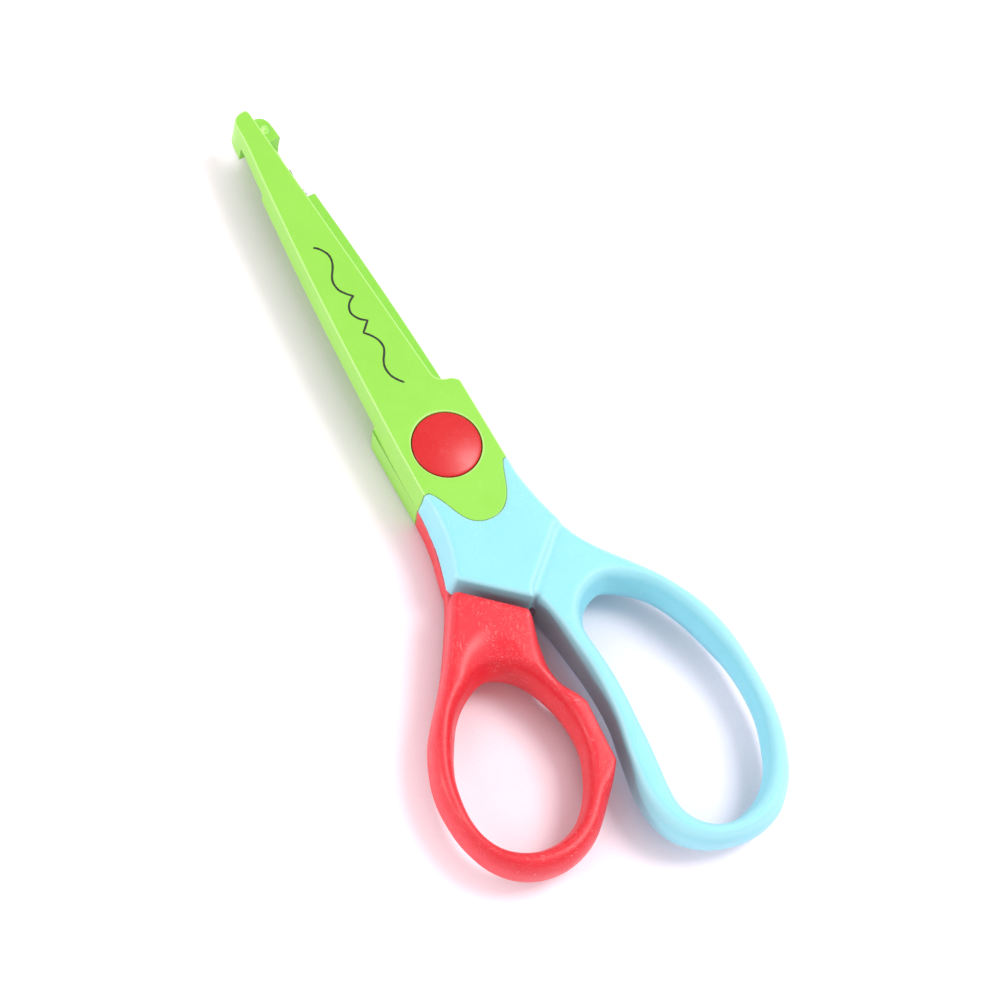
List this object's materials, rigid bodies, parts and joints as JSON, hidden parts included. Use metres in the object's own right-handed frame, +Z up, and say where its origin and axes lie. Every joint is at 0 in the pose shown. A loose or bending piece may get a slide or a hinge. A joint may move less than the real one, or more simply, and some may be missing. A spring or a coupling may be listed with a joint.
{
  "type": "decorative edge scissors",
  "caption": "Craft scissors with corrugated steel strips in plastic blade shells that cut a wavy decorative edge, with a large finger loop and a thumb loop.",
  "frame": {"origin": "on the pivot axis, in the flat rest plane of the rear blade shell", "axes": "+Z up along the pivot, +Y towards the blade tips, +X to the right seen from the front"},
  "size_m": [0.0643, 0.1673, 0.0152],
  "materials": {
    "shell_green": "satin moulded plastic, lime green",
    "handle_aqua": "satin moulded plastic, pale aqua",
    "handle_red": "satin moulded plastic, red, lightly scuffed",
    "cap_red": "glossy moulded plastic, red",
    "insert_steel": "ground stainless strip",
    "hardware_steel": "plain zinc plated",
    "bushing_white": "natural acetal",
    "print_black": "thin printed line"
  },
  "bodies": {
    "rear_half": {"rear_blade_shell": "shell_green", "rear_cutting_insert": "insert_steel", "rear_insert_pins": "insert_steel", "rear_handle": "handle_red", "rear_pivot_cap": "cap_red", "pivot_bushing": "bushing_white", "head_washer": "hardware_steel", "spring_washer": "hardware_steel", "pivot_screw": "hardware_steel", "nut_washer": "hardware_steel", "pivot_nut": "hardware_steel"},
    "front_half": {"front_blade_shell": "shell_green", "front_cutting_insert": "insert_steel", "front_insert_pins": "insert_steel", "front_handle": "handle_aqua", "front_pivot_cap": "cap_red"}
  },
  "joints": [
    {"name": "blade_pivot", "type": "hinge", "parent": "rear_half", "child": "front_half", "pos_m": [0, 0, 0.0072], "axis": [0, 0, 1], "range_deg": [-1, 55]}
  ]
}
